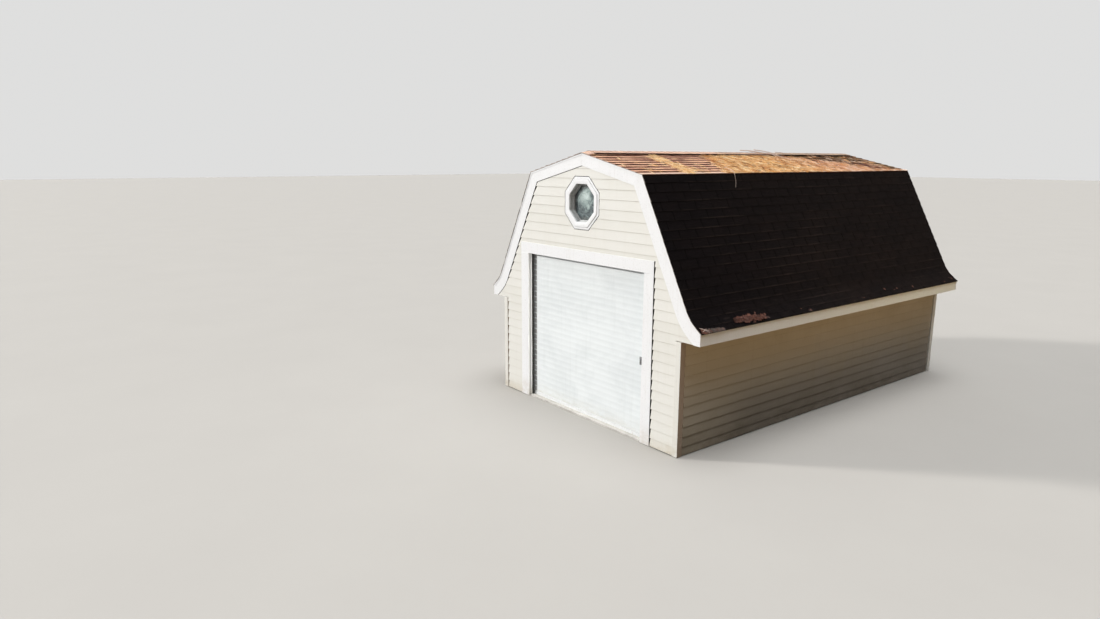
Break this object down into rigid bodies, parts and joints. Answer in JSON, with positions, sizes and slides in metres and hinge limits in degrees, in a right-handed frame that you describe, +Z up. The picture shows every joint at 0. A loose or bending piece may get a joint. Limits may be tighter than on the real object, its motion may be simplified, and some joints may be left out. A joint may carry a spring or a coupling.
{
  "type": "boathouse",
  "caption": "Gambrel-roofed boathouse shed with flared eaves, lapped siding, a roll-up sheet door and an octagonal gable window.",
  "frame": {"origin": "on the ground at the middle of the building's plan", "axes": "+X to the right as seen from the door side, +Y towards the rear gable, +Z up; the front wall with the door faces -Y"},
  "size_m": [4.2908, 6.3, 3.659],
  "materials": {
    "concrete": "rough weathered concrete",
    "framing": "timber framing under dark building paper",
    "roof_framing": "bare rafters and sheathing",
    "siding": "cream lapped siding, matt, weathered",
    "shingles": "granule-faced asphalt shingles, dark brown",
    "vent": "dark slotted vent base",
    "trim": "white paint, weathered",
    "guide": "dark painted steel channel",
    "curtain": "white baked enamel on ribbed sheet steel",
    "bottom_bar": "grey-white enamel, worn",
    "latch": "dull zinc",
    "glass": "clear window glass, dark room behind"
  },
  "bodies": {
    "root": {"foundation_front": "concrete", "foundation_rear": "concrete", "foundation_left": "concrete", "foundation_right": "concrete", "door_threshold": "concrete", "wall_left": "framing", "wall_right": "framing", "wall_rear": "framing", "wall_front_left": "framing", "wall_front_right": "framing", "wall_front_gable": "framing", "siding_left": "siding", "siding_right": "siding", "siding_rear": "siding", "siding_front": "siding", "roof_lower_left": "roof_framing", "roof_lower_right": "roof_framing", "roof_upper_left": "roof_framing", "roof_upper_right": "roof_framing", "eave_kick_left": "roof_framing", "eave_kick_right": "roof_framing", "shingles_left": "shingles", "shingles_right": "shingles", "ridge_vent": "vent", "ridge_cap": "shingles", "rake_front_left": "trim", "rake_front_right": "trim", "rake_rear_left": "trim", "rake_rear_right": "trim", "fascia_left": "trim", "fascia_right": "trim", "soffit_left": "trim", "soffit_right": "trim", "eave_ends": "siding", "corner_boards_front": "trim", "corner_boards_rear": "trim", "door_side_casings": "trim", "door_head_casing": "trim", "door_frame": "trim", "door_guides": "guide", "door_curtain": "curtain", "door_bottom_bar": "bottom_bar", "door_latch": "latch", "window_casing": "trim", "window_frame": "trim", "window_glass": "glass"}
  },
  "joints": []
}
